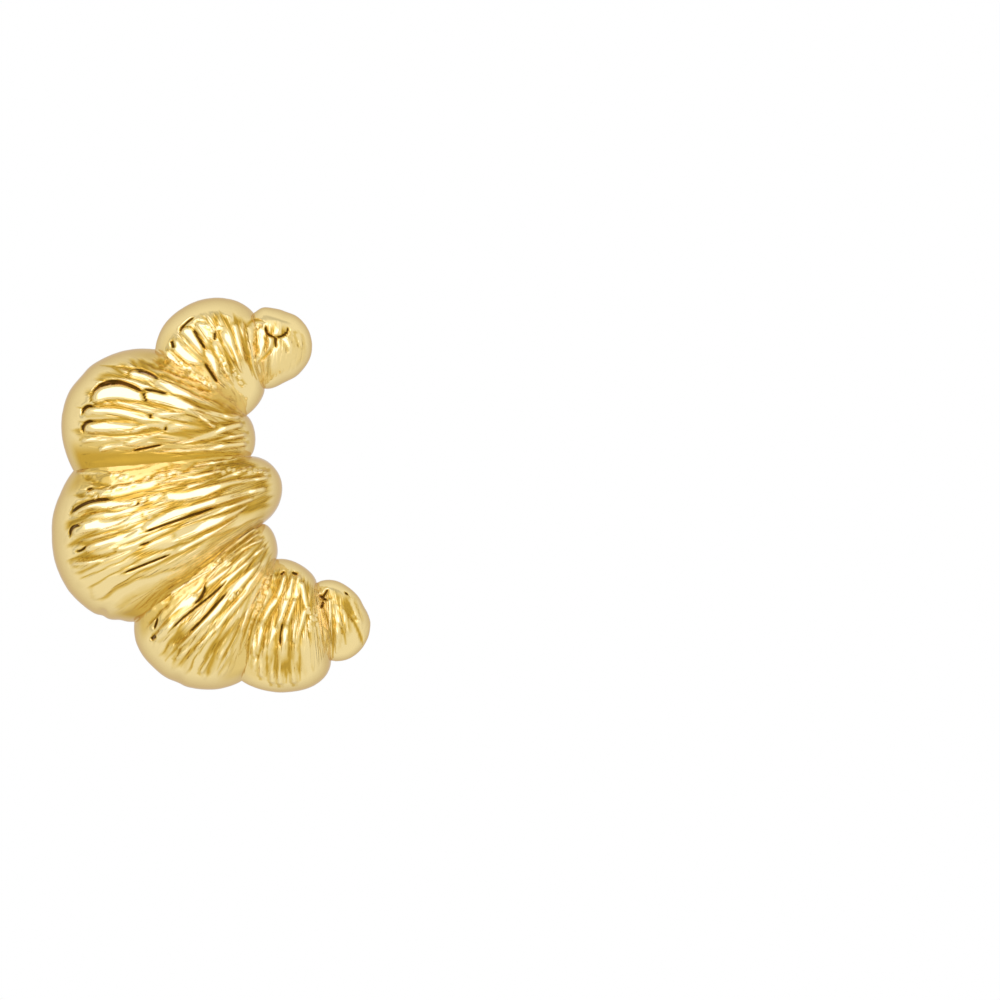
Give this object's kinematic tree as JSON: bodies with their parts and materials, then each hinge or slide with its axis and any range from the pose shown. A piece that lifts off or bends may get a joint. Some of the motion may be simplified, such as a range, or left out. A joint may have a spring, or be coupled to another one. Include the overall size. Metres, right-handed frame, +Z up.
{
  "type": "croissant stud earring",
  "caption": "Stud earring with a ridged croissant-shaped crescent in polished gold, a soldered pin for a pierced ear and a sliding butterfly clutch.",
  "frame": {"origin": "centre of the pin's foot, on the flat back of the croissant", "axes": "+Y along the pin, from the croissant's back through the lobe to the clutch; +Z up as worn; +X towards the open side of the crescent"},
  "size_m": [0.0129, 0.0153, 0.016],
  "materials": {
    "textured_gold": "yellow gold plate on a casting, polished bright over deep tooled striations",
    "pin_gold": "yellow gold plate on drawn wire, smooth",
    "clutch_gold": "yellow gold plate on thin stamped sheet, lightly brushed"
  },
  "bodies": {
    "earring": {"croissant": "textured_gold", "ear_pin": "pin_gold"},
    "clutch": {"butterfly_clutch": "clutch_gold"}
  },
  "joints": [
    {"name": "back_slide", "type": "slide", "parent": "earring", "child": "clutch", "axis": [0, 1, 0], "range_m": [-0.0044, 0.0055]}
  ]
}
